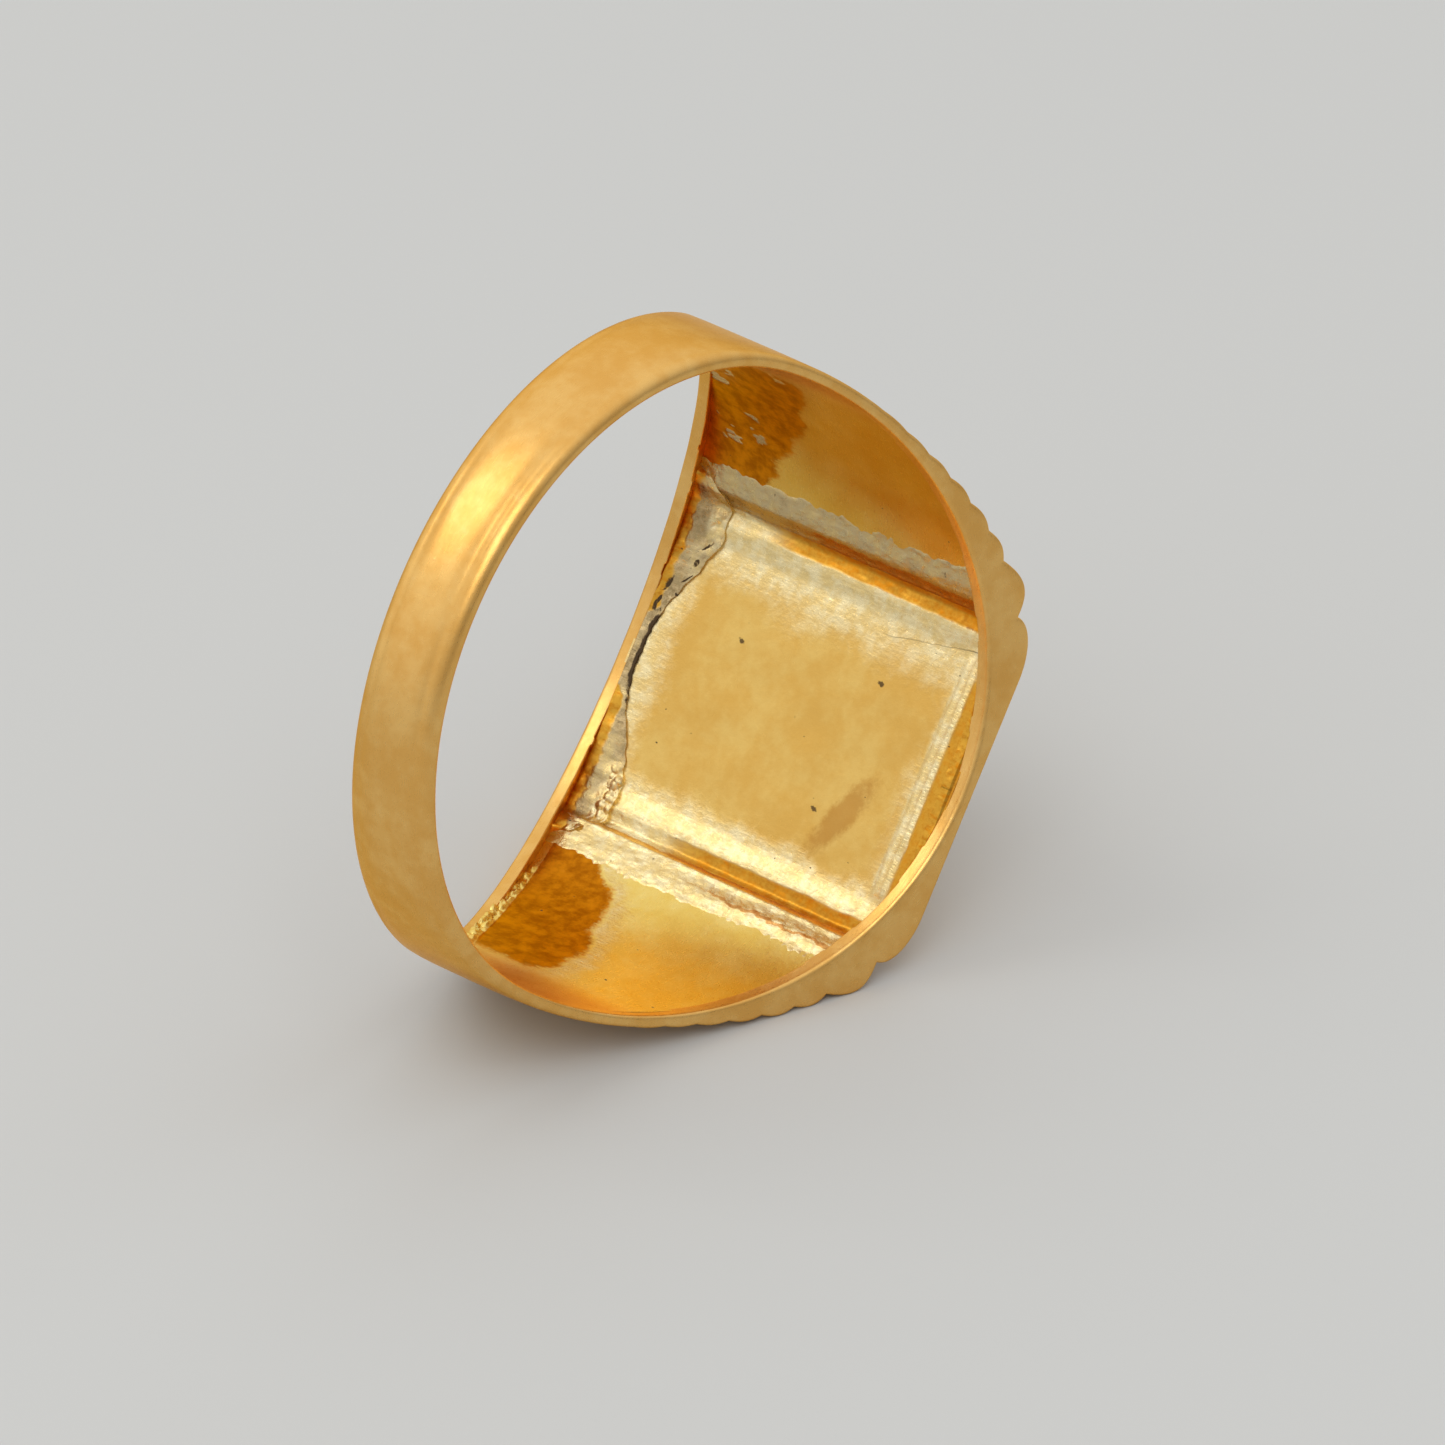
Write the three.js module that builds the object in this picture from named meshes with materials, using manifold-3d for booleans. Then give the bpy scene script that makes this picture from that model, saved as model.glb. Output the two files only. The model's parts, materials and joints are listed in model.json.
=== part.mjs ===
// Hollow signet ring with a flat table and fluted shoulders, soldered up from sheet.
// Millimetres, +Z up. The ring is drawn head up in its own frame: X runs across the head,
// Y along the finger and Z out through the table. Angles go round the finger axis from the
// middle of the head. The finished ring is then turned over to lie on one shoulder.
import * as THREE from 'three';
import { mergeVertices } from 'three/addons/utils/BufferGeometryUtils.js';
import Module from 'manifold-3d';

const wasm = await Module();
wasm.setup();

const degree = Math.PI / 180;

// Driving dimensions
const fingerRadius = 9.5;
const tableWidth = 10.7; // across the head, between the feet of the rounded lip
const tableLength = 13.1; // along the finger
const tableThickness = 0.36;
const lipWidth = 1.7; // how far in from its edge the table starts to round over
const lipDrop = 0.8; // how far the lip turns down
const skinThickness = 0.36; // shoulders, step rails, and the shank where it meets them
const wallThickness = 0.46; // side walls, along the finger
const wallFlare = 24 * degree; // how far the side walls lean outwards
const shankWidth = 2.7; // at the back of the finger
const shankFlare = 3.4 * degree; // how the shank widens towards the head
const flareBlend = 0.29; // softens the bend where the shank's flare meets the walls'
const shankThickness = 0.62; // at the back of the finger
const shankSwell = 45 * degree; // arc over which the shank grows to its full thickness
const shoulderFall = 38 * degree; // arc over which a shoulder comes down to the finger circle
const railArc = 9.5 * degree; // the broad moulding beside the table
const railCrest = 0.36;
const fluteCount = 6;
const fluteArc = 5.6 * degree;
const fluteCrest = 0.14; // the first flute; the others fade towards the shank
const plainArc = 5 * degree; // unfluted stretch between the last flute and the shank
const solderSeam = 0.04; // gap between two soldered faces
const seamArc = 4.5 * degree; // solder flooded along the inside of a step rail
const cornerReach = 1.2; // solder in a corner of the head, along the finger
const cornerStart = 2.2; // where it starts, out from the middle of the head
const cornerDepth = 1.5; // down the side wall

// Sizes and angles that follow from them
const tableTop = fingerRadius + tableThickness;
const tableHalf = tableWidth / 2;
const lipFoot = new THREE.Vector2(tableHalf, tableTop - lipDrop);
const lipAngle = Math.atan2(lipFoot.x, lipFoot.y);
const shoulderRise = lipFoot.length() - fingerRadius - skinThickness;
const shoulderStart = lipAngle + railArc;
const shankStart = shoulderStart + fluteCount * fluteArc + plainArc;
const clear = 3; // how far a cutter runs past what it cuts
const stepsPerFlute = 6;
const stepsPerLip = 8;
const arcStep = 3 * degree;

const satinGold = new THREE.MeshStandardMaterial({ color: '#d9a441', roughness: 0.38, metalness: 1 });
const brightGold = new THREE.MeshStandardMaterial({ color: '#e8bd62', roughness: 0.3, metalness: 1 });
const wallGold = new THREE.MeshStandardMaterial({ color: '#c8923a', roughness: 0.42, metalness: 1 });
const paleSolder = new THREE.MeshStandardMaterial({ color: '#d8cda4', roughness: 0.5, metalness: 1 });

function polar(radius, angle) {
  return new THREE.Vector2(radius * Math.sin(angle), radius * Math.cos(angle));
}

// Points from one angle to another, ends included, at the radius that a function gives
function arc(from, to, radiusAt) {
  const steps = Math.ceil(Math.abs(to - from) / arcStep);
  const points = [];
  for (let i = 0; i <= steps; i += 1) {
    const angle = from + (to - from) * (i / steps);
    points.push(polar(radiusAt(angle), angle));
  }
  return points;
}

// How far the underside of a shoulder stands off the finger circle
function shoulderLift(angle) {
  const fall = THREE.MathUtils.clamp((angle - lipAngle) / shoulderFall, 0, 1);
  return shoulderRise * Math.cos(fall * Math.PI / 2) ** 2;
}

// A row of points over one rounded flute, from its first notch up to but not into its second.
// The thickness is that of the sheet, for its outside, or zero for its inside.
function flute(start, width, crest, thickness) {
  const points = [];
  for (let i = 0; i < stepsPerFlute; i += 1) {
    const part = i / stepsPerFlute;
    const angle = start + width * part;
    const lift = shoulderLift(angle) + thickness + crest * Math.sin(Math.PI * part);
    points.push(polar(fingerRadius + lift, angle));
  }
  return points;
}

function railOutline(thickness) {
  return flute(lipAngle, railArc, railCrest, thickness);
}

function fluteOutline(index) {
  const fade = 1 - index / fluteCount;
  return flute(shoulderStart + index * fluteArc, fluteArc, fluteCrest * fade, skinThickness);
}

function fluteOutlines() {
  return Array.from({ length: fluteCount }, (_, index) => fluteOutline(index)).flat();
}

function plainOutline(end) {
  const start = shoulderStart + fluteCount * fluteArc;
  return arc(start, end, (angle) => fingerRadius + skinThickness + shoulderLift(angle));
}

// Quarter of an ellipse from the flat of the table, out and down to the foot of the lip
function lipOutline(inset) {
  const points = [];
  for (let i = 0; i <= stepsPerLip; i += 1) {
    const turn = (Math.PI / 2) * (i / stepsPerLip);
    const x = tableHalf - lipWidth + (lipWidth - inset) * Math.sin(turn);
    const z = lipFoot.y + (lipDrop - inset) * Math.cos(turn);
    points.push(new THREE.Vector2(x, z));
  }
  return points;
}

function mirrored(points) {
  return points.map((point) => new THREE.Vector2(-point.x, point.y));
}

function reversed(points) {
  return [...points].reverse();
}

// Half the ring's length along the finger at a height in its own frame
function halfLength(height) {
  const head = tableLength / 2 - Math.tan(wallFlare) * (tableTop - height);
  const shank = shankWidth / 2 + Math.tan(shankFlare) * (height + fingerRadius);
  return (head + shank) / 2 + Math.hypot((head - shank) / 2, flareBlend);
}

// One flared side as a row of points (length along the finger, height), from low to high
function sideLine(inset, side) {
  const low = -fingerRadius - clear;
  const high = tableTop + clear;
  const steps = 44;
  const points = [];
  for (let i = 0; i <= steps; i += 1) {
    const height = low + (high - low) * (i / steps);
    points.push(new THREE.Vector2(side * (halfLength(height) - inset), height));
  }
  return points;
}

function solid(geometry) {
  geometry.deleteAttribute('normal');
  geometry.deleteAttribute('uv');
  const merged = mergeVertices(geometry, 1e-5);
  const vertProperties = Float32Array.from(merged.getAttribute('position').array);
  const triVerts = Uint32Array.from(merged.index.array);
  return new wasm.Manifold(new wasm.Mesh({ numProp: 3, vertProperties, triVerts }));
}

function extruded(points, reach) {
  const geometry = new THREE.ExtrudeGeometry(new THREE.Shape(points), {
    depth: 2 * reach,
    bevelEnabled: false,
  });
  return geometry.translate(0, 0, -reach);
}

// An outline drawn across the head and up, run along the finger past both side walls
function alongFinger(points) {
  return solid(extruded(points, tableLength / 2 + clear).rotateX(Math.PI / 2));
}

// An outline drawn along the finger and up, run right across the ring
function acrossHead(points) {
  const reach = fingerRadius + tableWidth;
  return solid(extruded(points, reach).rotateX(Math.PI / 2).rotateZ(Math.PI / 2));
}

// Everything between the two flared sides, drawn in by an inset
function betweenSides(inset) {
  return acrossHead([...sideLine(inset, 1), ...reversed(sideLine(inset, -1))]);
}

const ringEnvelope = betweenSides(0);
const hollowEnvelope = betweenSides(wallThickness + solderSeam);

function piece(name, shape, material) {
  const source = shape.getMesh();
  const geometry = new THREE.BufferGeometry();
  geometry.setAttribute('position', new THREE.BufferAttribute(source.vertProperties, 3));
  geometry.setIndex(new THREE.BufferAttribute(source.triVerts, 1));
  geometry.computeVertexNormals();
  const mesh = new THREE.Mesh(geometry, material);
  mesh.name = name;
  return mesh;
}

// The table with its rounded lip turned down along both edges
function tablePlate() {
  const top = lipOutline(0);
  const underside = lipOutline(tableThickness);
  const outline = [...reversed(mirrored(top)), ...top, ...reversed(underside), ...mirrored(underside)];
  return piece('table_plate', alongFinger(outline).intersect(hollowEnvelope), satinGold);
}

// The broad moulding that carries the table's lip, bent from sheet.
// Side +1 is the upper shoulder's, -1 the lower's.
function stepRail(name, side) {
  const seat = lipFoot.y - solderSeam;
  const end = polar(fingerRadius + shoulderLift(shoulderStart), shoulderStart);
  const last = polar(end.length() + skinThickness, shoulderStart);
  const outline = [
    new THREE.Vector2(tableHalf - tableThickness, seat),
    new THREE.Vector2(tableHalf, seat),
    ...railOutline(skinThickness).slice(1),
    last,
    end,
    ...reversed(railOutline(0)),
  ];
  const placed = side > 0 ? outline : mirrored(outline);
  return piece(name, alongFinger(placed).intersect(hollowEnvelope), brightGold);
}

// The curved shoulder sheet, fluted outside and smooth inside
function shoulder(name, side) {
  const seam = solderSeam / fingerRadius;
  const start = shoulderStart + seam;
  const end = shankStart - seam;
  const first = polar(fingerRadius + skinThickness + shoulderLift(start), start);
  const inner = arc(end, start, (angle) => fingerRadius + shoulderLift(angle));
  const outline = [first, ...fluteOutlines().slice(1), ...plainOutline(end), ...inner];
  const placed = side > 0 ? outline : mirrored(outline);
  return piece(name, alongFinger(placed).intersect(hollowEnvelope), satinGold);
}

// The shank runs from shoulder to shoulder round the back of the finger
function shankBand() {
  const grown = (angle) => {
    const arcFromEnd = Math.min(angle, 2 * Math.PI - angle) - shankStart;
    const swell = THREE.MathUtils.smoothstep(arcFromEnd, 0, shankSwell);
    return fingerRadius + THREE.MathUtils.lerp(skinThickness, shankThickness, swell);
  };
  const outer = arc(shankStart, 2 * Math.PI - shankStart, grown);
  const inner = arc(2 * Math.PI - shankStart, shankStart, () => fingerRadius);
  return piece('shank_band', alongFinger([...outer, ...inner]).intersect(ringEnvelope), satinGold);
}

// A side wall closes one end of the hollow head, from the finger circle to the scalloped outline
function sideWall(name, side) {
  const seam = solderSeam / fingerRadius;
  const end = shankStart - seam;
  const rail = railOutline(skinThickness).slice(1);
  const half = [...lipOutline(0), ...rail, ...fluteOutlines(), ...plainOutline(end)];
  const outer = [...reversed(mirrored(half)), ...half];
  const inner = arc(end, -end, () => fingerRadius);
  const sheet = acrossHead([...sideLine(0, side), ...reversed(sideLine(wallThickness, side))]);
  return piece(name, alongFinger([...outer, ...inner]).intersect(sheet), wallGold);
}

// Solder flooded into the hollow of a step rail, beside the table's lip
function seamSolder(name, side) {
  const start = lipAngle + solderSeam / fingerRadius;
  const end = lipAngle + seamArc;
  const drop = 2 * solderSeam;
  const roof = railOutline(-drop).filter((point) => {
    const angle = Math.atan2(point.x, point.y);
    return angle > start && angle < end;
  });
  const floor = arc(end, start, (angle) => fingerRadius + shoulderLift(angle) - drop);
  const placed = side > 0 ? [...roof, ...floor] : mirrored([...roof, ...floor]);
  return piece(name, alongFinger(placed).intersect(hollowEnvelope), paleSolder);
}

// Solder flooded into a corner of the head, under the table and against a side wall
function cornerSolder(name, across, side) {
  const under = lipOutline(tableThickness + solderSeam);
  const roof = under.filter((point) => point.x < tableHalf - tableThickness);
  const outermost = Math.atan2(roof.at(-1).x, lipFoot.y);
  const innermost = Math.asin(cornerStart / fingerRadius);
  const floor = arc(outermost, innermost, () => fingerRadius);
  const outline = [new THREE.Vector2(cornerStart, fingerRadius - solderSeam), ...roof, ...floor];
  const wallFace = (height) => side * (halfLength(height) - wallThickness - solderSeam);
  const section = [
    new THREE.Vector2(wallFace(fingerRadius - cornerDepth), fingerRadius - cornerDepth),
    new THREE.Vector2(wallFace(fingerRadius), fingerRadius),
    new THREE.Vector2(wallFace(fingerRadius) - side * cornerReach, fingerRadius),
  ];
  const placed = across > 0 ? outline : mirrored(outline);
  return piece(name, alongFinger(placed).intersect(acrossHead(section)), paleSolder);
}

// The turn that brings the crests of a step rail and the first flute down on to one level
function restingTilt() {
  const rail = railOutline(skinThickness);
  const first = fluteOutline(0);
  const all = [...rail, ...first];
  for (const a of rail) {
    for (const b of first) {
      const tilt = Math.atan2(a.y - b.y, b.x - a.x);
      const reach = (point) => point.x * Math.sin(tilt) + point.y * Math.cos(tilt);
      if (all.every((point) => reach(point) < reach(a) + 1e-6)) {
        return tilt;
      }
    }
  }
  return 0;
}

const ring = new THREE.Group();
ring.add(tablePlate());
ring.add(stepRail('step_rail_upper', 1));
ring.add(stepRail('step_rail_lower', -1));
ring.add(shoulder('shoulder_upper', 1));
ring.add(shoulder('shoulder_lower', -1));
ring.add(seamSolder('seam_solder_upper', 1));
ring.add(seamSolder('seam_solder_lower', -1));
ring.add(shankBand());
ring.add(sideWall('side_wall_front', 1));
ring.add(sideWall('side_wall_back', -1));
ring.add(cornerSolder('corner_solder_upper_front', 1, 1));
ring.add(cornerSolder('corner_solder_upper_back', 1, -1));
ring.add(cornerSolder('corner_solder_lower_front', -1, 1));
ring.add(cornerSolder('corner_solder_lower_back', -1, -1));
ring.rotation.set(Math.PI, restingTilt(), 0);

// The origin is on the surface that the ring lies on, under the middle of its box
const signetRing = new THREE.Group();
signetRing.add(ring);
signetRing.updateMatrixWorld(true);
const box = new THREE.Box3().setFromObject(signetRing, true);
const middle = box.getCenter(new THREE.Vector3());
ring.position.set(-middle.x, -middle.y, -box.min.z);

export default signetRing;
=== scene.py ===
"""Looks of the hollow gold signet ring: each sheet of it as a fine mesh with its own worked gold."""
import json
import math

import bmesh
import bpy
import numpy as np
from mathutils import Matrix, Vector, noise


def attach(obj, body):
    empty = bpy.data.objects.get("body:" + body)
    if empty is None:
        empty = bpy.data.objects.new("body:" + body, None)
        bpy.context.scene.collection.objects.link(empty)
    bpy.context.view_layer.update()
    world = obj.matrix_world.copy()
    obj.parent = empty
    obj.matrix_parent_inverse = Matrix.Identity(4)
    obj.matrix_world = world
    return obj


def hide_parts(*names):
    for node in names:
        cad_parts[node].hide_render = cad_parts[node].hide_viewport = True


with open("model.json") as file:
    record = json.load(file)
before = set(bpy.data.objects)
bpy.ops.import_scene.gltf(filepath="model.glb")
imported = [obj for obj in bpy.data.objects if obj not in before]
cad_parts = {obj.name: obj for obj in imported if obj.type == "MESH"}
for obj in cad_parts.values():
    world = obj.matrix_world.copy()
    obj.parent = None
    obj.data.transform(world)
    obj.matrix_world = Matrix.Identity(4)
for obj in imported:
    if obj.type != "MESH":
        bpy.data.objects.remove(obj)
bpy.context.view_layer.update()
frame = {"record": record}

# ---------------------------------------------------------------- sizes, in millimetres and radians

MM = 0.001
DEGREE = math.pi / 180
QUARTER = math.pi / 2
FINGER_RADIUS = 9.5
TABLE_WIDTH = 10.7
TABLE_LENGTH = 13.1
TABLE_THICKNESS = 0.36
LIP_WIDTH = 1.7
LIP_DROP = 0.8
SKIN = 0.36
WALL = 0.46
WALL_FLARE = 24 * DEGREE
SHANK_WIDTH = 2.7
SHANK_FLARE = 3.4 * DEGREE
FLARE_BLEND = 0.29
SHANK_THICKNESS = 0.62
SHANK_SWELL = 45 * DEGREE
SHOULDER_FALL = 38 * DEGREE
RAIL_ARC = 9.5 * DEGREE
RAIL_CREST = 0.36
FLUTE_COUNT = 6
FLUTE_ARC = 5.6 * DEGREE
FLUTE_CREST = 0.14
PLAIN_ARC = 5 * DEGREE
SEAM_ARC = 4.5 * DEGREE

WORN = 0.008  # polished off every outer face
EDGE_ROUND = 0.13  # outer edges, filed soft
RIM_ROUND = 0.1  # edges of the finger hole
OVERLAP = 0.12  # how far the sheets run into the walls, so that no gap shows between them
LEDGE_DROP = 0.04  # the step down in a wall's top, under the edges of the sheets
LEDGE_RUN = 0.01  # how far past the sheets' edges that step starts, and how wide it is
TOP_MIDDLE = 0.24  # depth of the one point between a wall's rounded edge and the step
FLAT_STEPS = 110  # points across the flat of a wall's outline

TABLE_TOP = FINGER_RADIUS + TABLE_THICKNESS
TABLE_HALF = TABLE_WIDTH / 2
LIP_START = TABLE_HALF - LIP_WIDTH
LIP_FOOT = (TABLE_HALF, TABLE_TOP - LIP_DROP)
LIP_ANGLE = math.atan2(*LIP_FOOT)
SHOULDER_RISE = math.hypot(*LIP_FOOT) - FINGER_RADIUS - SKIN
SHOULDER_START = LIP_ANGLE + RAIL_ARC
FLUTES_END = SHOULDER_START + FLUTE_COUNT * FLUTE_ARC
SHANK_START = FLUTES_END + PLAIN_ARC

# ---------------------------------------------------------------- the ring's own frame

# X runs across the head, Y along the finger and Z out through the table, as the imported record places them
record = frame["record"]
hole = record["physics"]["openings"][0]["box_m"]
CENTRE = (Vector(hole[0]) + Vector(hole[1])) / 2
HEAD = Vector(record["mounts"][0]["axis"]).normalized()
FINGER = Vector((0, -1, 0))
ACROSS = FINGER.cross(HEAD)
RING = Matrix((ACROSS, FINGER, HEAD)).transposed()


def placed(points):
    """Points of the ring's own frame, in millimetres, as world points in metres."""
    return np.asarray(points) @ np.array(RING.transposed()) * MM + np.array(CENTRE)


def smooth(low, high, value):
    part = np.clip((value - low) / (high - low), 0, 1)
    return part * part * (3 - 2 * part)


def wobble(point, scale, seed=0):
    """Smooth noise, about -1 to 1, with bumps scale millimetres apart."""
    return noise.noise(Vector(point) / scale + Vector((seed, 1.7 * seed, 2.3 * seed)))


# ---------------------------------------------------------------- outlines, as rows of (x, z)


def polar(radius, angle):
    return np.array((radius * math.sin(angle), radius * math.cos(angle)))


def angle_of(point):
    return math.atan2(point[0], point[1])


def shoulder_lift(angle):
    fall = min(max((abs(angle) - LIP_ANGLE) / SHOULDER_FALL, 0), 1)
    return SHOULDER_RISE * math.cos(fall * QUARTER) ** 2


def half_length(height):
    head = TABLE_LENGTH / 2 - math.tan(WALL_FLARE) * (TABLE_TOP - height)
    shank = SHANK_WIDTH / 2 + math.tan(SHANK_FLARE) * (height + FINGER_RADIUS)
    return (head + shank) / 2 + np.hypot((head - shank) / 2, FLARE_BLEND)


def lip_row(steps=20):
    """The rounded lip, from the flat of the table to its foot."""
    turns = np.linspace(0, QUARTER, steps)
    x = LIP_START + (LIP_WIDTH - WORN) * np.sin(turns)
    z = LIP_FOOT[1] + (LIP_DROP - WORN) * np.cos(turns)
    return list(np.stack((x, z), axis=1))


def flute_row(start, width, crest, steps):
    """One rounded flute, both of its notches included."""
    rows = []
    for part in np.linspace(0, 1, steps):
        angle = start + width * part
        lift = SKIN - WORN + shoulder_lift(angle) + crest * math.sin(math.pi * part)
        rows.append(polar(FINGER_RADIUS + lift, angle))
    return rows


def rail_row():
    return flute_row(LIP_ANGLE, RAIL_ARC, RAIL_CREST, 24)


def shoulder_row():
    """All the flutes, then the plain stretch up to the shank."""
    rows = []
    for index in range(FLUTE_COUNT):
        crest = FLUTE_CREST * (1 - index / FLUTE_COUNT)
        rows += flute_row(SHOULDER_START + index * FLUTE_ARC, FLUTE_ARC, crest, 15)[:-1]
    for angle in np.linspace(FLUTES_END, SHANK_START, 10):
        rows.append(polar(FINGER_RADIUS + SKIN - WORN + shoulder_lift(angle), angle))
    return rows


def flat_row(height, steps):
    return [np.array((x, height)) for x in np.linspace(-LIP_START, LIP_START, steps)[1:-1]]


def mirrored(rows):
    return [np.array((-x, z)) for x, z in reversed(rows)]


def rim_point(point):
    """The point of the finger circle straight under a point of an outline."""
    return polar(FINGER_RADIUS, angle_of(point))


# ---------------------------------------------------------------- mesh building


def mesh_object(name, points, faces, sharp=40 * DEGREE):
    """A smooth-shaded object from points of the ring's frame; edges bent by more than an angle stay sharp."""
    points = np.asarray(points)
    mesh = bpy.data.meshes.new(name)
    mesh.from_pydata([tuple(p) for p in placed(points)], [], faces)
    work = bmesh.new()
    work.from_mesh(mesh)
    bmesh.ops.recalc_face_normals(work, faces=work.faces)
    for face in work.faces:
        face.smooth = True
    for edge in work.edges:
        edge.smooth = edge.calc_face_angle(0) < sharp
    work.to_mesh(mesh)
    work.free()
    radius = np.hypot(points[:, 0], points[:, 2])
    arc = np.arctan2(points[:, 0], points[:, 2]) * FINGER_RADIUS
    vector_attribute(mesh, "place", points)
    vector_attribute(mesh, "unrolled", np.stack((arc, points[:, 1], radius), axis=1))
    piece = bpy.data.objects.new(name, mesh)
    bpy.context.scene.collection.objects.link(piece)
    mark(piece)
    return piece


def vector_attribute(mesh, name, values):
    layer = mesh.attributes.new(name, "FLOAT_VECTOR", "POINT")
    layer.data.foreach_set("vector", np.asarray(values, dtype=np.float32).ravel())


def places(piece):
    """Where each vertex of a piece is in the ring's frame, in millimetres."""
    flat = np.empty(len(piece.data.vertices) * 3, dtype=np.float32)
    piece.data.attributes["place"].data.foreach_get("vector", flat)
    return flat.reshape(-1, 3)


def mark(piece, **marks):
    """Give each vertex its marks, from 0 to 1, and 0 for each mark that is not named.

    inner is an inside face, and solder, fire and soot are how much of each covers it.
    fire is firescale, and is painted shade beside the front wall and up against the walls in the head's
    corners.
    dull browns bare gold, and greys the solder where there is any; in those same places it too paints shade.
    Along the burnt patch's edge on the lower shoulder, solder is partly a painted highlight.
    """
    count = len(piece.data.vertices)
    for name in ("inner", "solder", "fire", "soot", "dull"):
        layer = piece.data.attributes.get(name) or piece.data.attributes.new(name, "FLOAT", "POINT")
        values = np.clip(marks.get(name, np.zeros(count)), 0, 1)
        layer.data.foreach_set("value", np.asarray(values, dtype=np.float32))


def loft(name, rings):
    """A closed skin over a row of equal closed loops of points, capped at both ends."""
    rings = np.asarray(rings)
    count, size, _ = rings.shape
    faces = []
    for i in range(count - 1):
        for j in range(size):
            k = (j + 1) % size
            faces.append((i * size + j, i * size + k, (i + 1) * size + k, (i + 1) * size + j))
    faces.append(tuple(range(size)))
    faces.append(tuple(reversed(range((count - 1) * size, count * size))))
    return mesh_object(name, rings.reshape(-1, 3), faces)


def turn(centre, radius, start, steps=6, wide=1.0):
    """A quarter turn round a corner of a section, as rows of (depth, height); wide stretches its depth."""
    angles = start + np.linspace(0, QUARTER, steps)
    return [(centre[0] + wide * radius * math.cos(a), centre[1] + radius * math.sin(a)) for a in angles]


def between(start, end, steps):
    return [tuple(p) for p in np.linspace(start, end, steps + 2)[1:-1]]


def wobbles(points, scale, seed):
    return np.array([wobble(p, scale, seed) for p in points])


# ---------------------------------------------------------------- side walls and band


def wall_thickness(spot):
    """The thickness of a wall, which changes in small steps as if it was filed by hand."""
    steps = round(1.4 * wobble((spot[0], spot[1], 0), 1.3, 21)) * 0.045
    return WALL - 0.01 + steps + 0.03 * wobble(spot, 1.9, 3) + 0.012 * wobble(spot, 0.4, 5)


def side_wall(name, side):
    """One flared side wall: depth runs in from its outer face, height up from the finger circle."""
    half = lip_row() + rail_row()[1:] + shoulder_row()[1:]
    outline = mirrored(half) + flat_row(TABLE_TOP - WORN, FLAT_STEPS) + half
    rings = []
    talls = []
    for outer in outline:
        inner = rim_point(outer)
        tall = np.linalg.norm(outer - inner)
        up = (outer - inner) / tall
        spot = (inner[0], side * 6, inner[1])
        wall = wall_thickness(spot)
        rim = RIM_ROUND * (1 + 0.3 * wobble(spot, 1.1, 8))
        lip = min(rim * 0.5, 0.004 + 0.7 * shoulder_lift(angle_of(inner)))
        section = turn((rim, rim), rim, math.pi)[::-1]
        section += between((0, rim), (0, tall - EDGE_ROUND), 3)
        section += turn((EDGE_ROUND, tall - EDGE_ROUND), EDGE_ROUND, QUARTER)[::-1]
        ledge = WALL - OVERLAP + LEDGE_RUN
        low = tall - LEDGE_DROP
        section += [(TOP_MIDDLE, tall), (ledge, tall), (ledge + LEDGE_RUN, low), (wall, low)]
        section += between((wall, low), (wall, lip), 8)
        section += turn((wall - lip, lip), lip, -QUARTER)[::-1]
        section += between((wall - lip, 0), (rim, 0), 3)
        ring = []
        for depth, height in section:
            x, z = inner + up * height
            ring.append((x, side * (half_length(z) - WORN - depth), z))
        rings.append(ring)
        talls += [tall] * len(ring)
    piece = loft(name, rings)
    spots = places(piece)
    inward = half_length(spots[:, 2]) - np.abs(spots[:, 1])
    height = np.hypot(spots[:, 0], spots[:, 2]) - FINGER_RADIUS
    inner_face = smooth(0.25, 0.36, inward) * smooth(0.02, 0.1, height) * (height < np.array(talls) - 0.06)
    speckle = wobbles(spots, 0.6, 31)
    across = np.abs(spots[:, 0])
    head = 1 - smooth(4.6, 5.6, across + 0.3 * speckle)
    solder = 0.6 * inner_face * smooth(2.6, 1.6, across + 0.3 * speckle)
    fire = 0.45 * inner_face * head * (1 - solder)
    dull = inner_face * (0.5 if side < 0 else 0.4 * head)
    mark(piece, inner=inner_face, solder=solder, fire=fire, dull=dull)
    return piece


def shank_thickness(angle):
    from_end = min(angle, 2 * math.pi - angle) - SHANK_START
    return SKIN + (SHANK_THICKNESS - SKIN) * float(smooth(0, SHANK_SWELL, from_end))


def shank_band():
    """The plain band: a softly domed outside, a little uneven, with rounded edges."""
    rings = []
    for angle in np.linspace(SHANK_START, 2 * math.pi - SHANK_START, 300):
        thick = shank_thickness(angle)
        swell = (thick - SKIN) / (SHANK_THICKNESS - SKIN)
        edge = EDGE_ROUND + 0.22 * swell
        wide = 1 + 0.3 * swell
        dome = 0.11 * swell
        top = thick - WORN - dome - 0.012 * swell
        ring = []

        def add(share, depth, height):
            """share: -1 or 1 for a side, or between them; depth in from that side; height off the hole"""
            x, z = polar(FINGER_RADIUS + height, angle)
            ring.append((x, share * (half_length(z) - WORN) - math.copysign(depth, share), z))

        sides = turn((RIM_ROUND, RIM_ROUND), RIM_ROUND, math.pi)[::-1]
        sides += between((0, RIM_ROUND), (0, top - edge), 1)
        sides += turn((wide * edge, top - edge), edge, QUARTER, 10, wide)[::-1]
        for depth, height in sides:
            add(-1, depth, height)
        half = half_length(polar(FINGER_RADIUS + top, angle)[1]) - WORN
        for share in np.linspace(-1, 1, 25)[1:-1]:
            spot = (*polar(FINGER_RADIUS, angle), share * half)
            uneven = swell * (0.014 * wobble(spot, 3.2, 41) + 0.004 * wobble(spot, 0.9, 43))
            calm = 1 - share ** 4
            add(share * (1 - wide * edge / half), 0, top + dome * calm + min(uneven, 0.012) * calm)
        for depth, height in reversed(sides):
            add(1, depth, height)
        for share in np.linspace(1, -1, 9)[1:-1]:
            add(share * (1 - RIM_ROUND / half), 0, 0)
        rings.append(ring)
    return loft("band", rings)


# ---------------------------------------------------------------- sheets between the walls

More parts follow.
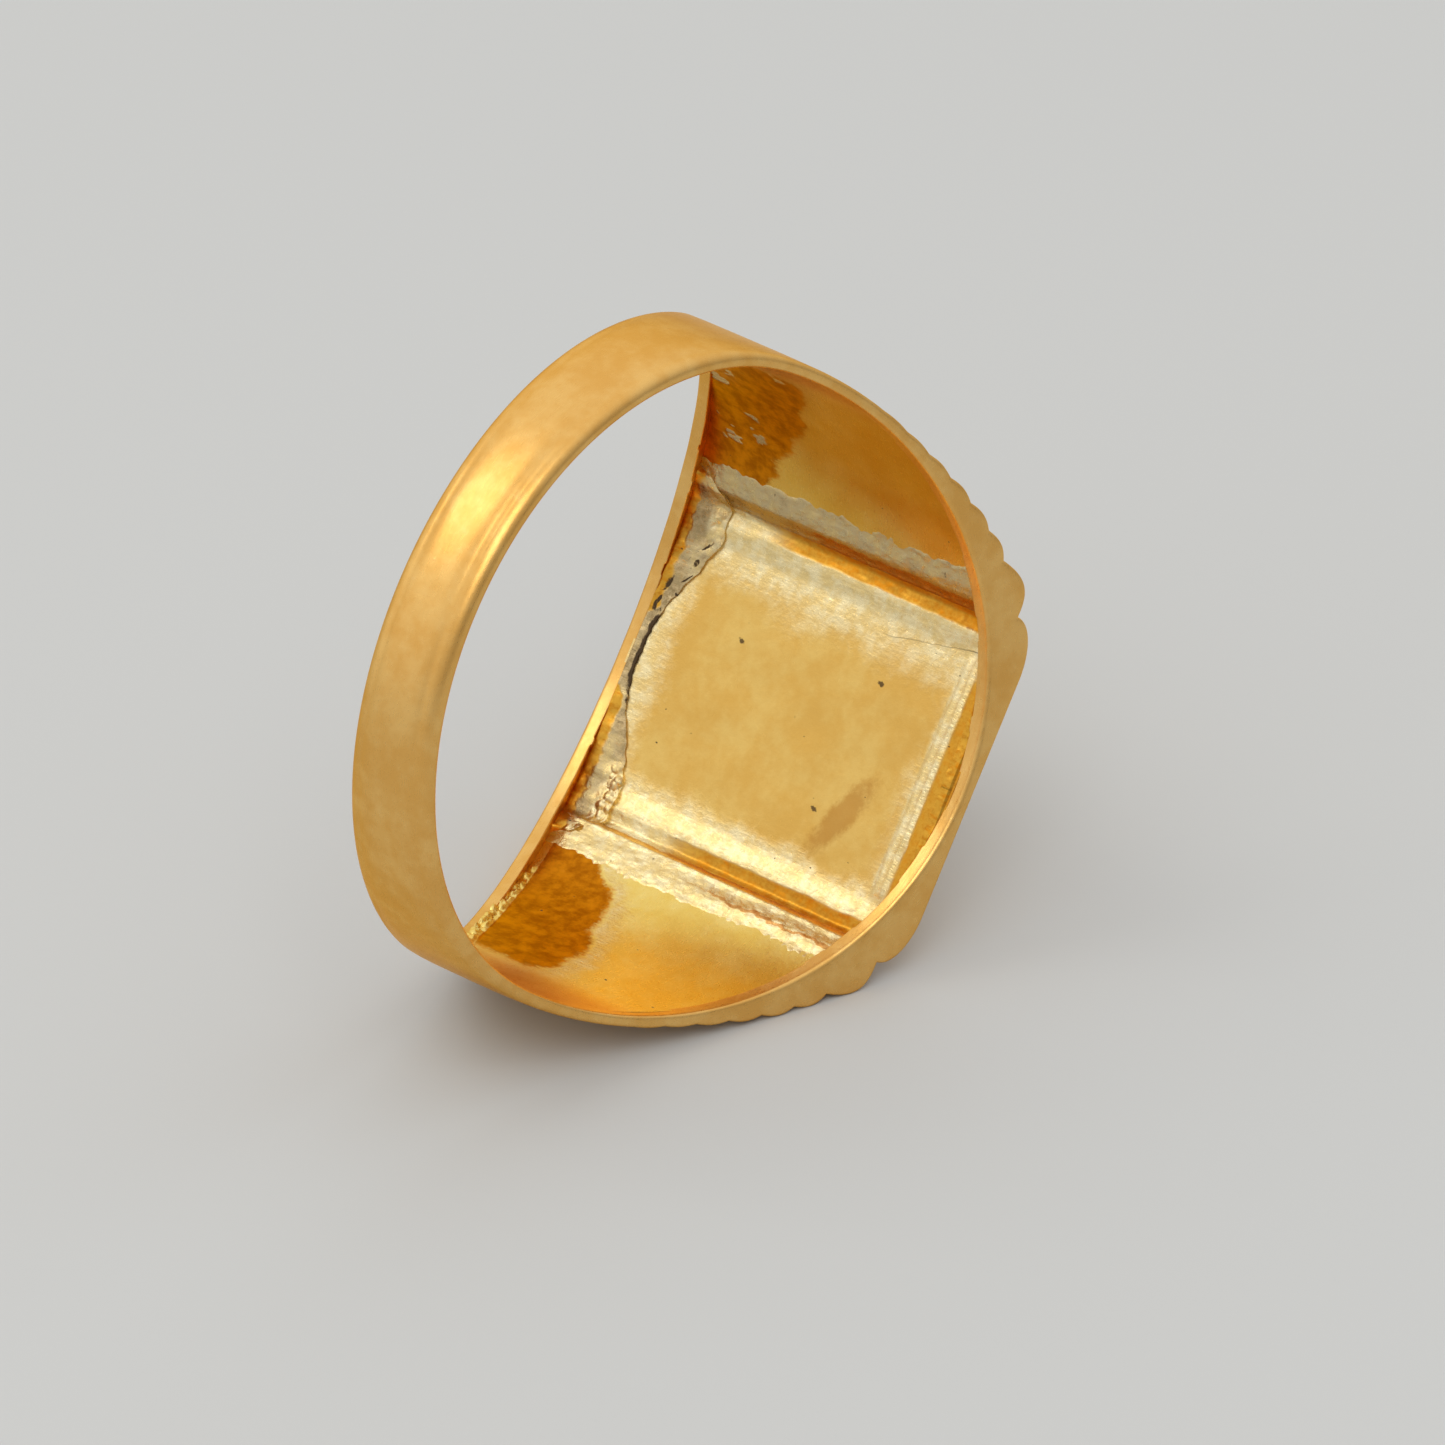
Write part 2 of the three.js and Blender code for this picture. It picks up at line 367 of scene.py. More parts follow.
SLOPE_START = 3.8
GROOVE_START = 4.42
GROOVE_END = 5.08
LIP_INSET = 0.24
WALL_FOOT = 5.9  # where the table's underside meets the side walls, along the finger
STRIP_MIDDLE = 5.02  # a raised strip of solder beside the front wall
STRIP_STAIN = 5.0  # the middle of the pale colour on it
PAINTED_SHADE_START = 5.26  # where a painted shade starts: an orange-brown band between that strip and the wall, with no solder on it


def under_height(x):
    """The table's underside: flat, then a slope, gentler on the upper shoulder's side, then a groove."""
    fall = np.where(np.asarray(x) > 0, 0.15, 0.27)
    x = np.abs(x)
    slope = fall * smooth(SLOPE_START - 0.1, GROOVE_START + 0.08, x)
    groove = (fall - 0.13) * smooth(GROOVE_START, GROOVE_START + 0.25, x)
    end = 0.2 * smooth(GROOVE_END - 0.3, GROOVE_END + 0.02, x)
    return FINGER_RADIUS - slope + groove - end


def sheet(name, tops, unders, top_steps=24, under_steps=60, relief=None):
    """A sheet between the side walls, from its outside row and its inside row of (x, z) points."""
    rings = []
    for top, under in zip(tops, unders):
        ring = []
        half = half_length(top[1]) - WALL + OVERLAP
        for share in np.linspace(-1, 1, top_steps):
            ring.append((top[0], share * half, top[1]))
        half = half_length(under[1]) - WALL + OVERLAP
        for share in np.sin(np.linspace(QUARTER, -QUARTER, under_steps)):
            point = np.array((under[0], share * half, under[1]))
            if relief is not None:
                point = point + relief(point)
            ring.append(tuple(point))
        rings.append(ring)
    piece = loft(name, rings)
    mark(piece, inner=np.tile(np.arange(top_steps + under_steps) >= top_steps, len(rings)))
    return piece


def inner_mark(piece):
    values = np.empty(len(piece.data.vertices), dtype=np.float32)
    piece.data.attributes["inner"].data.foreach_get("value", values)
    return values


def toward(point, other, distance):
    """The point a distance from one point towards another."""
    step = np.asarray(other) - np.asarray(point)
    return np.asarray(point) + step / np.linalg.norm(step) * distance


def table_plate():
    turns = np.linspace(0, QUARTER, 44)
    outer = lip_row(44)
    reach = LIP_WIDTH - LIP_INSET
    inner = [LIP_START + reach * math.sin(t) for t in turns]
    inner = [np.array((x, float(under_height(x)))) for x in inner]
    tops = mirrored(outer) + flat_row(TABLE_TOP - WORN, 100) + outer
    unders = mirrored(inner) + flat_row(FINGER_RADIUS, 100) + inner

    def relief(point):
        across = abs(point[0])
        sag = 0.03 * wobble(point, 3.5, 2) + 0.01 * wobble(point, 1.1, 4)
        flooded = float(smooth(SLOPE_START - 0.5, SLOPE_START + 0.3, across))
        grain = 0.02 * wobble(point, 0.35, 6) + 0.012 * wobble(point, 0.14, 9)
        strip = point[1] - STRIP_MIDDLE - 0.05 * wobble(point, 0.8, 12)
        raised = 0.075 * math.exp(-((strip / 0.2) ** 4)) * (1 - flooded)
        return np.array((0, 0, max(sag, -0.03) * (1 - flooded) + grain * flooded - raised))

    piece = sheet("table", tops, unders, under_steps=170, relief=relief)
    spots = places(piece)
    x, y, _ = spots.T
    across = np.abs(x)
    inside = inner_mark(piece)
    broad = wobbles(spots, 1.6, 51)
    fine = wobbles(spots, 0.45, 53)
    from_lip = SLOPE_START - across + 0.5 * broad
    from_wall = WALL_FOOT - np.abs(y) + 0.5 * broad
    by_lip = 1 - smooth(0.0, 1.0, from_lip / np.where(x > 0, 1.9, 0.8))
    border = 0.75 * np.maximum(by_lip, 1 - smooth(0.2, 2.0, from_wall))
    slope = smooth(SLOPE_START - 0.1, SLOPE_START + 0.1, across)
    groove = smooth(GROOVE_START - 0.02, GROOVE_START + 0.12, across + 0.05 * fine)
    open_groove = groove * smooth(-3.2, -0.6, y + 0.5 * broad + np.where(x > 0, 0.8, 0))
    beyond = smooth(GROOVE_END - 0.14, GROOVE_END - 0.04, across)
    open_groove *= 1 - beyond
    solder = np.maximum(border, slope) * (1 - open_groove)
    strip = np.exp(-(((y - STRIP_STAIN - 0.05 * fine) / 0.3) ** 4)) * (across < SLOPE_START)
    # Painted shade: an orange-brown band on the table between the solder strip and the front wall, given as
    # fire and dull colour
    front_wall_shade = smooth(PAINTED_SHADE_START, 5.36, y + 0.06 * fine) * smooth(3.5, 2.9, x) * smooth(-3.9, -3.5, x)
    solder = np.maximum(solder * (1 - front_wall_shade), strip)
    fire = np.maximum(0.5 * open_groove, 0.42 * front_wall_shade)
    dull = front_wall_shade + open_groove + 0.9 * (x > 0) * smooth(GROOVE_END - 0.2, GROOVE_END - 0.08, across)
    mark(piece, inner=inside, solder=inside * solder, fire=inside * fire, dull=inside * dull)
    return piece


def step_rail(name, side):
    tops = rail_row()
    unders = []
    for top in tops:
        from_lip = (angle_of(top) - LIP_ANGLE) / DEGREE
        unders.append(toward(top, (0, 0), SKIN * (0.27 + 0.63 * float(smooth(0, 2.5, from_lip)))))
    if side < 0:
        tops, unders = mirrored(tops), mirrored(unders)
    return sheet(name, tops, unders, under_steps=24)


# Where each burnt patch ends: degrees from the middle of the head, and places along the finger
BURNT_LOWER = ((33, 40, 48, 57, 65), (-4.3, -2.4, -1.5, -0.7, -0.3))
BURNT_UPPER = ((31, 37, 46, 58, 80), (-3.4, -2.9, -1.7, -0.6, 0.9))


def shoulder(name, side):
    """The fluted shoulder sheet, with a thin tongue that laps under the step rail."""
    tongue = list(np.linspace(LIP_ANGLE + SEAM_ARC - 0.02, SHOULDER_START, 12)[:-1])
    tops = [polar(FINGER_RADIUS + shoulder_lift(a) + SKIN * 0.3, a) for a in tongue] + shoulder_row()
    unders = [polar(FINGER_RADIUS + shoulder_lift(angle_of(top)), angle_of(top)) for top in tops]
    if side < 0:
        tops, unders = mirrored(tops), mirrored(unders)

    def relief(point):
        out = np.array((point[0], 0, point[2])) / FINGER_RADIUS
        lift = 0.012 - 0.02 * wobble(point, 2.2, 61) - 0.006 * wobble(point, 0.7, 63)
        from_wall = half_length(point[2]) - WALL - abs(point[1])
        angle = abs(angle_of((point[0], point[2])))
        bead_run = float(smooth(40, 46, angle / DEGREE))
        if side < 0 and point[1] < 0 and from_wall < 0.5:
            lift += 0.16 * grains(point, 0.27, 5) * float(smooth(0.34, 0.12, from_wall)) * bead_run
        return -out * lift * float(smooth(SHANK_START, SHANK_START - 8 * DEGREE, angle))

    piece = sheet(name, tops, unders, under_steps=110, relief=relief)
    spots = places(piece)
    x, y, z = spots.T
    angle = np.abs(np.arctan2(x, z)) / DEGREE
    inside = inner_mark(piece) * smooth(SHANK_START / DEGREE, SHANK_START / DEGREE - 9, angle)
    broad = wobbles(spots, 0.9, 65)
    fine = wobbles(spots, 0.3, 67)
    edge = np.interp(angle, *(BURNT_LOWER if side < 0 else BURNT_UPPER))
    burnt = smooth(-0.55, 0.6, edge - y + 0.4 * broad + 0.12 * fine)
    turned = np.stack((angle * DEGREE * FINGER_RADIUS * 0.8, y * 0.6, x), axis=1)
    chips = wobbles(turned, 0.55, 69) + 0.35 * wobbles(turned, 0.16, 70)
    beside = smooth(-4.5, -4.2, y) * smooth(-2.5, -2.9, y) * smooth(36, 40, angle)
    beside = beside + 0.6 * smooth(66, 72, angle)
    flakes = 1.2 * smooth(0.33, 0.45, chips) * beside * (y < edge)
    haze = 0.45 * smooth(56, 70, angle) * smooth(-1.8, -3.6, y + 0.5 * broad)
    past = y - edge - 0.35 * broad
    # A pale solder band along the burnt patch's edge on the lower shoulder, partly a painted highlight
    rim = smooth(-0.1, 0.25, past) * smooth(1.3, 0.2, past) * 0.5 * (side < 0)
    beads = (side < 0) * (y < 0) * (1 - smooth(0.2, 0.34, half_length(z) - WALL - np.abs(y)))
    solder = np.maximum(np.where(side > 0, np.maximum(flakes, haze), rim), 0)
    fire = burnt * (1 - beads) * (1 - np.minimum(flakes, 1) * (side > 0))
    dull = 0.0 if side < 0 else 0.72 + 0.2 * broad
    mark(piece, inner=inside, fire=inside * fire, solder=inside * solder, dull=inside * dull)
    return piece


def seam_solder(name, side):
    """The silver band flooded along the inside of a step rail: two ridges and a ragged lower edge."""
    rings = []
    start, end = GROOVE_START + 0.55, LIP_ANGLE + SEAM_ARC + 0.05
    first = math.atan2(start, float(under_height(start)))
    for part in np.linspace(0, 1, 44):
        angle = first + (end - first) * part
        start_radius = math.hypot(start, float(under_height(start))) + 0.02
        seam_radius = FINGER_RADIUS + shoulder_lift(end) + 0.03
        blend = float(smooth(0, 0.4 if side > 0 else 0.2, part))
        base = start_radius + (seam_radius - start_radius) * blend - 0.05
        half = half_length(base * math.cos(angle)) - WALL + OVERLAP
        ring = []
        for share in np.linspace(-1, 1, 30):
            x, z = polar(base + 0.12, angle)
            ring.append((side * x, share * half, z))
        for share in np.linspace(1, -1, 190):
            y = share * half
            spot = (angle * FINGER_RADIUS, y, 3 * side)
            open_end = float(smooth(-2.5, 1.5, y + 0.4 * wobble(spot, 1.2, 75)))
            wave = part * 1.9 + 0.1 * wobble((0, y, side), 1.5, 71)
            ridges = (0.02 if side > 0 else 0.035) * math.cos(2 * math.pi * wave)
            lumps = 0.024 * wobble(spot, 0.4, 7) + 0.016 * wobble(spot, 0.16, 9)
            ragged = 0.09 * wobble((0, y, side), 0.5, 11) + 0.045 * wobble((0, y, side), 0.17, 13)
            edge = 0.14 * float(smooth(0.8, 0.97, part + ragged)) + 0.05 * float(smooth(0.05, 0, part))
            x, z = polar(base - ridges * (0.35 + 0.65 * open_end) - lumps + edge, angle)
            ring.append((side * x, y, z))
        rings.append(ring)
    piece = loft(name, rings)
    spots = places(piece)
    x, y, z = spots.T
    angle = np.abs(np.arctan2(x, z))
    part = (angle - first) / (end - first) + 0.06 * wobbles(spots, 0.8, 77)
    ragged = part + 0.05 * wobbles(spots, 0.25, 78)
    if side > 0:
        line = 0.75 * smooth(0.34, 0.26, ragged) * smooth(-2.8, -0.4, y)
    else:
        line = np.exp(-(((ragged - 0.5) / 0.035) ** 4)) * smooth(-1.5, 2.0, y)
    dull = np.full(len(x), 0.1 if side < 0 else 0.6)
    soot = 0.5 * smooth(0.5, 0.6, wobbles(spots, 0.35, 79))
    everywhere = np.ones(len(x))
    mark(piece, inner=everywhere, solder=everywhere, fire=line, soot=soot, dull=dull)
    return piece


# ---------------------------------------------------------------- solder in the head's corners

CORNER_END = 5.95


def grains(point, scale, seed):
    """Rounded lumps, about scale millimetres across, 0 to 1."""
    near = noise.voronoi(Vector(point) / scale + Vector((seed, seed, seed)))[0][0]
    return max(0.0, 1 - near * 1.5) ** 0.5


def floor_height(across):
    """The inside of the head, from the table's underside over the step and on to the shoulder."""
    table = float(under_height(across))
    beyond = math.sqrt((FINGER_RADIUS + SHOULDER_RISE - 0.03) ** 2 - across ** 2)
    return table + (beyond - table) * float(smooth(4.9, 5.3, across))


def solder_reach(x, side):
    """How far in from the middle the solder's edge lies on the table."""
    across = abs(x)
    spot = (x, side * 5, 0)
    ragged = 0.1 * wobble(spot, 0.7, 83) + 0.06 * wobble(spot, 0.22, 85)
    if side > 0:
        reach = 5.66 - 0.25 * float(smooth(2.8, 3.8, across))
        return reach + 0.3 * float(smooth(4.4, 5.6, across)) + 0.4 * ragged
    reach = 5.64 - 1.25 * float(smooth(0.6, 4.2, across))
    return reach + 0.75 * float(smooth(4.7, CORNER_END, across)) + ragged


def corner_solder(name, end, side):
    """Solder flooded along half of a side wall, from the finger rim down onto the table's underside."""
    rings = []
    edges = []
    downs = np.linspace(0, 1, 52)
    for across in np.linspace(-0.02, CORNER_END, 150):
        x = end * across
        rim = math.sqrt(FINGER_RADIUS ** 2 - across ** 2)
        bottom = floor_height(across)
        gap = bottom - rim
        corner = float(smooth(2.9, 3.7, across)) * (1 if end < 0 else 0.45) * (1 if side < 0 else 0.5)
        start = rim + 0.05 + (0.24 + (0.4 if end < 0 else 0.26) * float(smooth(2.2, 4.0, across))) * gap
        start += 0.06 * wobble((x, side * 5, 0), 0.6, 81) + 0.03 * wobble((x, side * 5, 0), 0.2, 82)
        thin = float(smooth(CORNER_END, CORNER_END - 0.5, across))
        start = bottom - max(bottom - start, 0.02) * (0.04 + 0.96 * thin)
        wall = half_length(start) - WALL + 0.06
        reach = wall - (wall - solder_reach(x, side)) * (0.04 + 0.96 * thin)
        ring = []
        for down in downs:
            y = wall + (reach - wall) * down
            z = start + (bottom - start) * (1 - (1 - down) ** 1.35)
            place = (x, side * y, z)
            lumps = 0.035 * wobble(place, 0.55, 87) + 0.014 * wobble(place, 0.2, 89)
            grit = 0.19 * grains(place, 0.27, 3) * corner * float(smooth(0.5, 0.72, down))
            grit *= 0.6 + 0.4 * wobble(place, 0.5, 86)
            film = 0.06 * float(smooth(0, 0.08, down))
            cliff = float(smooth(0.955, 1, down))
            lift = max(film + lumps + grit, 0.7 * film) * (1 - cliff) * thin
            lift = lift - 0.04 * cliff - 0.05 * (1 - thin)
            ring.append((x, side * (y - 0.3 * lift), z - lift))
        for down in downs[::-6]:
            y = wall + (reach - wall) * down
            z = start + (bottom - start) * (1 - (1 - down) ** 1.35)
            ring.append((x, side * (y + 0.05 * (1 - down)), z + 0.07))
        rings.append(ring)
        edges += [reach] * len(ring)
    piece = loft(name, rings)
    spots = places(piece)
    x, y, z = spots.T
    across = np.abs(x)
    broad = wobbles(spots, 0.7, 91)
    fine = wobbles(spots, 0.2, 93)
    from_edge = np.abs(y) - np.array(edges)
    width = 0.09 + 0.13 * smooth(2.0, 1.2, across)
    crack = 1 - smooth(0.0, 1.0, (from_edge + 0.06 * fine) / width)
    crack = crack * (0.75 + 0.5 * smooth(-0.1, 0.3, broad))
    in_middle = (1 - smooth(1.0, 1.6, x)) * (1 - smooth(1.5, 2.1, -x))
    fainter = 0.4 * smooth(1.0, 1.6, x) * (1 - smooth(3.4, 4.0, x))
    crack = crack * (in_middle + fainter)
    near_edge = smooth(0.75, 0.4, from_edge)
    smear = wobbles(np.stack((0.9 * x, 3.2 * from_edge + 0.4 * x, z), axis=1), 0.55, 97) + 0.3 * fine
    blots = smooth(0.05, 0.3, smear) * smooth(0.9, 1.5, x) * (1 - smooth(3.5, 4.0, x)) * near_edge
    from_wall = half_length(z) - WALL - np.abs(y)
    pale = smooth(0.22, 0.42, from_wall + 0.2 * broad + 0.1 * fine + 0.5 * smooth(1.6, 0.8, across))
    pale = pale if side < 0 else smooth(3.2, 4.2, across + 0.4 * broad)
    tarnish = 0.5 * smooth(-0.3, 0.5, wobbles(spots, 1.1, 95))
    soot = np.maximum(crack, blots) if side < 0 else np.zeros(len(x))
    lumpy = smooth(3.1, 3.7, across + 0.3 * broad) * smooth(0.75, 0.45, from_edge + 0.2 * broad)
    lumpy = lumpy * (1 if end < 0 else 0.3)
    dull = np.where(side < 0, 0.8 + 0.5 * broad - 1.2 * lumpy, 0.3)
    # Where pale is low, fire and dull paint shade: at the back an orange-brown band up against the wall under
    # the rim, at the front the strip along the wall except towards the head's ends
    fire = np.maximum(0.7 * tarnish * (1 - lumpy), 0.42 * (1 - pale))
    dull = np.maximum(dull, 1 - pale)
    everywhere = np.ones(len(x))
    mark(piece, inner=everywhere, solder=pale, fire=fire, soot=soot, dull=dull)
    return piece


pieces = {
    "table_plate": table_plate(),
    "step_rail_upper": step_rail("rail_upper", 1),
    "step_rail_lower": step_rail("rail_lower", -1),
    "shoulder_upper": shoulder("fluted_upper", 1),
    "shoulder_lower": shoulder("fluted_lower", -1),
    "seam_solder_upper": seam_solder("solder_band_upper", 1),
    "seam_solder_lower": seam_solder("solder_band_lower", -1),
    "shank_band": shank_band(),
    "side_wall_front": side_wall("wall_front", 1),
    "side_wall_back": side_wall("wall_back", -1),
    "corner_solder_upper_front": corner_solder("corner_upper_front", 1, 1),
    "corner_solder_upper_back": corner_solder("corner_upper_back", 1, -1),
    "corner_solder_lower_front": corner_solder("corner_lower_front", -1, 1),
    "corner_solder_lower_back": corner_solder("corner_lower_back", -1, -1),
}

# ---------------------------------------------------------------- finishes


class Finish:
    """A material's node tree, with short calls for the kinds of node used here."""

    def __init__(self, name):
        self.material = bpy.data.materials.new(name)
        self.material.use_nodes = True
        self.tree = self.material.node_tree
        self.shader = self.tree.nodes["Principled BSDF"]

    def node(self, kind, inputs=(), **settings):
        made = self.tree.nodes.new("ShaderNode" + kind)
        for key, value in settings.items():
            setattr(made, key, value)
        for key, value in dict(inputs).items():
            if isinstance(value, bpy.types.NodeSocket):
                self.tree.links.new(value, made.inputs[key])
            else:
                made.inputs[key].default_value = value
        return made

    def attribute(self, name, output="Fac"):
        return self.node("Attribute", attribute_name=name).outputs[output]

    def stretched(self, vector, scale):
        return self.node("Mapping", {"Vector": vector, "Scale": scale}).outputs["Vector"]

    def noise(self, vector, scale, detail=3.0, roughness=0.55):
        settings = {"Vector": vector, "Scale": scale, "Detail": detail, "Roughness": roughness}
        return self.node("TexNoise", settings).outputs["Fac"]

    def spots(self, vector, scale):
        return self.node("TexVoronoi", {"Vector": vector, "Scale": scale}).outputs["Distance"]

    def math(self, operation, first, second=0.0):
        return self.node("Math", {0: first, 1: second}, operation=operation).outputs[0]

    def ramp(self, value, low, high, start=0.0, end=1.0):
        settings = {"Value": value, "From Min": low, "From Max": high, "To Min": start, "To Max": end}
        return self.node("MapRange", settings, interpolation_type="SMOOTHSTEP").outputs["Result"]

    def mix(self, amount, first, second):
        made = self.node("Mix", {0: amount, 6: first, 7: second}, data_type="RGBA")
        return made.outputs[2]

    def blend(self, amount, first, second):
        return self.node("Mix", {0: amount, 2: first, 3: second}, data_type="FLOAT").outputs[0]

    def bump(self, height, strength, distance, normal=None):
        settings = {"Height": height, "Strength": strength, "Distance": distance}
        if normal is not None:
            settings["Normal"] = normal
        return self.node("Bump", settings).outputs["Normal"]

    def out(self, key, value):
        self.tree.links.new(value, self.shader.inputs[key])


def rgb(red, green, blue):
    return (red, green, blue, 1)


OUTER_LIGHT = rgb(0.86, 0.53, 0.17)
OUTER_DEEP = rgb(0.78, 0.43, 0.11)
OUTER_ROUGHNESS = 0.3
EDGE_TINT = rgb(1.0, 0.75, 0.42)
SILVERED = rgb(0.88, 0.75, 0.44)
SILVER_WARM = rgb(0.8, 0.61, 0.27)
TARNISHED = rgb(0.54, 0.41, 0.22)
TARNISHED_DEEP = rgb(0.34, 0.24, 0.11)
# Orange of firescale, also used as painted shade beside the walls
FIRED_AND_SHADED = rgb(0.7, 0.25, 0.008)
FIRED_AND_SHADED_DEEP = rgb(0.42, 0.125, 0.004)
SCORCHED = rgb(0.52, 0.26, 0.055)
# Brown for dull gold, also used as painted shade beside the walls
BROWNED_AND_SHADED = rgb(0.7, 0.37, 0.045)
SOOT = rgb(0.07, 0.045, 0.025)
NICKS = ((1.5, -2.6), (2.0, 2.4), (-2.1, 1.9))  # across the head and along the finger


def hairline(finish, place, waver):
    """A fine crack in the table's underside, from beside the upper slope out to the front wall."""
    parts = finish.node("SeparateXYZ", {0: place})
    across = finish.math("ADD", finish.math("MULTIPLY", parts.outputs["X"], 0.983), waver)
    off = finish.math("SUBTRACT", across, finish.math("MULTIPLY", parts.outputs["Y"], 0.184))
    off = finish.math("ABSOLUTE", finish.math("SUBTRACT", off, 2.99))
    line = finish.ramp(off, 0.008, 0.024, 0.8, 0.0)
    deep = finish.ramp(parts.outputs["Z"], FINGER_RADIUS - 0.1, FINGER_RADIUS + 0.1, 1.0, 0.0)
    line = finish.math("MULTIPLY", line, finish.ramp(parts.outputs["Y"], 1.6, 2.4))
    start = finish.ramp(parts.outputs["X"], 2.9, 3.2)
    return finish.math("MULTIPLY", line, finish.math("MULTIPLY", start, deep))


def oval(finish, place, spot, angle, size, waver):
    """How far out of a turned oval on the table's underside a point lies: 1 at its edge, made uneven."""
    turned = {"Vector": place, "Location": (*spot, FINGER_RADIUS), "Rotation": (0, 0, angle), "Scale": size}
    local = finish.node("Mapping", turned, vector_type="TEXTURE").outputs["Vector"]
    far = finish.node("VectorMath", {0: local}, operation="LENGTH").outputs["Value"]
    return finish.math("ADD", far, waver)


def smudge(finish, place, waver):
    """A soft brown scorch on the table's underside, near the lower front corner."""
    far = oval(finish, place, (-2.0, 2.85), 25 * DEGREE, (1.4, 0.42, 0.6), waver)
    return finish.ramp(far, 0.6, 1.35, 0.75, 0.0)


def nick(finish, place, spot, waver):
    """A small dark mark on the table's underside, longer along the finger than across the head."""
    far = oval(finish, place, spot, 18 * DEGREE, (0.055, 0.12, 0.4), waver)
    return finish.ramp(far, 0.6, 1.2, 0.85, 0.0)


def worked_gold(name, light, deep, roughness, streaky=1.0, cracked=False):
    """Satin gold: alike on every outside, and inside with its own tone, stains and solder, and in a few
    places painted shade and a partly painted highlight.
    """
    finish = Finish(name)
    place = finish.attribute("place", "Vector")
    unrolled = finish.attribute("unrolled", "Vector")
    inner = finish.attribute("inner")
    broad = finish.noise(place, 0.55, 4.0)
    cloudy = finish.noise(place, 2.2, 4.0, 0.6)
    fine = finish.noise(place, 9.0, 4.0, 0.65)
    streaks = finish.noise(finish.stretched(unrolled, (3.4, 0.8, 1.0)), 3.0, 4.0, 0.6)
    brushed = finish.noise(finish.stretched(unrolled, (0.25, 1.7, 1.7)), 14.0, 4.0, 0.7)
    specks = finish.spots(finish.stretched(place, (1.9, 1.0, 1.0)), 1.3)
    pits = finish.math("ADD", specks, finish.math("MULTIPLY", fine, 0.12))
    pits = finish.ramp(pits, 0.1, 0.13, 1.0, 0.0)
    pits = finish.math("MULTIPLY", pits, finish.ramp(cloudy, 0.52, 0.58))

    tone = finish.ramp(finish.math("ADD", broad, finish.math("MULTIPLY", cloudy, 0.4)), 0.5, 0.95)
    colour = finish.mix(inner, finish.mix(tone, OUTER_DEEP, OUTER_LIGHT), finish.mix(tone, deep, light))
    ragged = finish.math("SUBTRACT", finish.math("ADD", cloudy, fine), 1.0)
    streaked = finish.math("MULTIPLY", finish.math("SUBTRACT", streaks, 0.5), 1.4 * streaky)

    uneven = finish.math("ADD", finish.math("MULTIPLY", streaked, 0.7), finish.math("MULTIPLY", ragged, 0.5))
    # Browning and orange: firescale, and beside the walls painted shade
    colour = finish.mix(finish.attribute("dull"), colour, BROWNED_AND_SHADED)
    fire = finish.ramp(finish.math("ADD", finish.attribute("fire"), uneven), 0.28, 0.72)
    burnt = finish.math("ADD", finish.math("MULTIPLY", streaks, 0.15), finish.math("MULTIPLY", cloudy, 0.85))
    stain_and_shade = finish.mix(finish.ramp(burnt, 0.34, 0.66), FIRED_AND_SHADED_DEEP, FIRED_AND_SHADED)
    colour = finish.mix(fire, colour, stain_and_shade)

    solder = finish.math("ADD", finish.attribute("solder"), finish.math("MULTIPLY", uneven, 0.6))
    solder = finish.ramp(solder, 0.05, 0.85)
    dull = finish.math("ADD", finish.attribute("dull"), finish.math("MULTIPLY", ragged, 0.8))
    dull = finish.ramp(dull, 0.1, 1.0)
    bright = finish.mix(finish.ramp(cloudy, 0.38, 0.66), SILVER_WARM, SILVERED)
    grey = finish.mix(finish.ramp(fine, 0.35, 0.65), TARNISHED_DEEP, TARNISHED)
    silvered = finish.mix(dull, bright, grey)
    covered = finish.math("MULTIPLY", solder, finish.ramp(fire, 0.0, 1.0, 1.0, 0.3))
    colour = finish.mix(covered, colour, silvered)

    soot = finish.math("ADD", finish.attribute("soot"), finish.math("MULTIPLY", ragged, 1.3))
    soot = finish.math("MAXIMUM", finish.ramp(soot, 0.5, 0.9), finish.math("MULTIPLY", pits, inner))
    if cracked:
        scorch = finish.math("MULTIPLY", smudge(finish, place, finish.math("MULTIPLY", ragged, 0.8)), inner)
        colour = finish.mix(scorch, colour, SCORCHED)
        soot = finish.math("MAXIMUM", soot, hairline(finish, place, finish.math("MULTIPLY", cloudy, 0.12)))
        for spot in NICKS:
            dark = nick(finish, place, spot, finish.math("MULTIPLY", ragged, 2.5))
            soot = finish.math("MAXIMUM", soot, dark)
    colour = finish.mix(soot, colour, SOOT)
    finish.out("Base Color", colour)

    rough = finish.blend(inner, OUTER_ROUGHNESS, roughness)
    rough = finish.math("ADD", rough, finish.ramp(brushed, 0.25, 0.75, -0.05, 0.06))
    rough = finish.blend(fire, rough, 0.4)
    rough = finish.blend(solder, rough, finish.ramp(fine, 0.3, 0.7, 0.24, 0.4))
    rough = finish.blend(soot, rough, 0.75)
    finish.out("Roughness", rough)
    finish.out("Metallic", finish.ramp(soot, 0.0, 1.0, 1.0, 0.3))

    normal = finish.bump(brushed, 0.1, 0.00002)
    grain = finish.math("MULTIPLY", fine, finish.ramp(inner, 0.0, 1.0, 0.5, 1.3))
    normal = finish.bump(grain, 0.14, 0.00003, normal)
    lumps = finish.math("MULTIPLY", finish.math("ADD", finish.math("MULTIPLY", fine, 0.5), streaks), solder)
    normal = finish.bump(lumps, 0.3, 0.00006, normal)
    finish.out("Normal", normal)
    finish.shader.inputs["Specular Tint"].default_value = EDGE_TINT
    return finish.material


